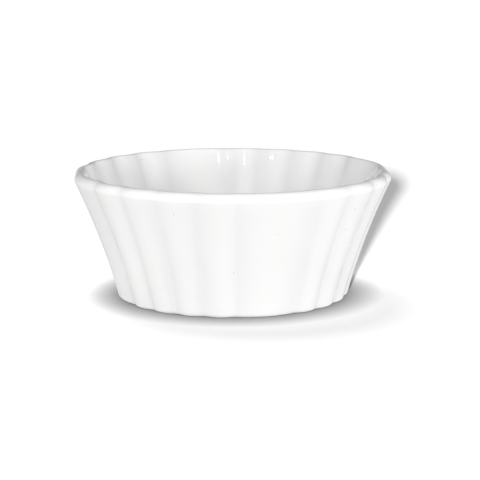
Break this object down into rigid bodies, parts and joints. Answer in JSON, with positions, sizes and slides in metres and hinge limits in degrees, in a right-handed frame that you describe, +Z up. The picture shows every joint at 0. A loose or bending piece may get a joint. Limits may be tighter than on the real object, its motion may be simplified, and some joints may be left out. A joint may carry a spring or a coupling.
{
  "type": "ramekin",
  "caption": "Small round baking dish in white glazed porcelain: a flared, fluted cup with a scalloped lip, four wide plain panels and a recessed foot.",
  "frame": {"origin": "centre of the plane that the foot stands on, on the axis of the cup", "axes": "+Z up along the axis of the cup, -Y through the middle of one of the four wide plain panels, +X to the right of someone who faces that panel, through the middle of the next one"},
  "size_m": [0.0994, 0.0994, 0.0395],
  "materials": {
    "porcelain": "white porcelain under a clear gloss glaze, bare and matt on the flat of the foot ring"
  },
  "bodies": {
    "root": {"dish": "porcelain"}
  },
  "joints": []
}
